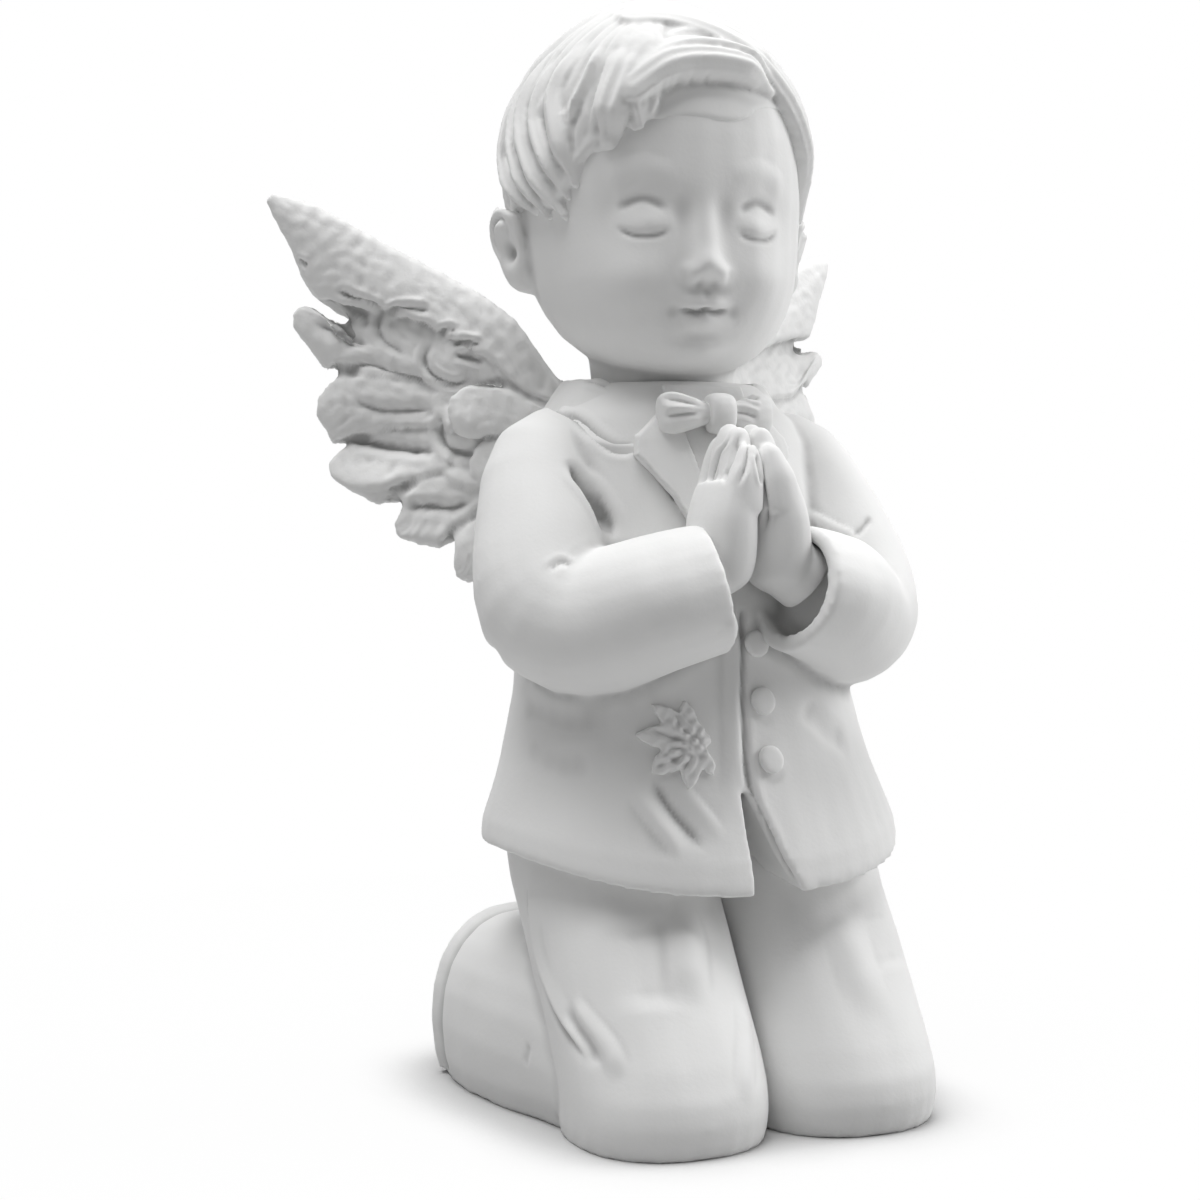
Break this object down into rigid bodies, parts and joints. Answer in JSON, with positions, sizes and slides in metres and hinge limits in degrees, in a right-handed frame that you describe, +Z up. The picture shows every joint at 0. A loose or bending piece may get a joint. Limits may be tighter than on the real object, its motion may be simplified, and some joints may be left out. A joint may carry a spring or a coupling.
{
  "type": "kneeling angel figurine",
  "caption": "White cast-resin figurine of a kneeling winged boy in a suit and bow tie, hands held together in prayer; stands on the flat undersides of its legs and shoes.",
  "frame": {"origin": "on the floor plane that the figure kneels on, under the middle of the jacket's hem", "axes": "+Z up, the figure faces -Y, its own right side is -X"},
  "size_m": [0.0946, 0.0745, 0.1495],
  "materials": {
    "resin": "matt unpainted white casting resin, slightly chalky, with soft sheen on the raised parts"
  },
  "bodies": {
    "root": {"right_trouser_leg": "resin", "left_trouser_leg": "resin", "right_shoe": "resin", "left_shoe": "resin", "jacket": "resin", "right_sleeve": "resin", "left_sleeve": "resin", "right_hand": "resin", "left_hand": "resin", "shirt_front": "resin", "right_lapel": "resin", "left_lapel": "resin", "collar": "resin", "bow_tie": "resin", "bow_tie_knot": "resin", "jacket_buttons": "resin", "leaf_sprig": "resin", "head": "resin", "hair": "resin", "right_ear": "resin", "left_ear": "resin", "right_wing": "resin", "left_wing": "resin"}
  },
  "joints": []
}
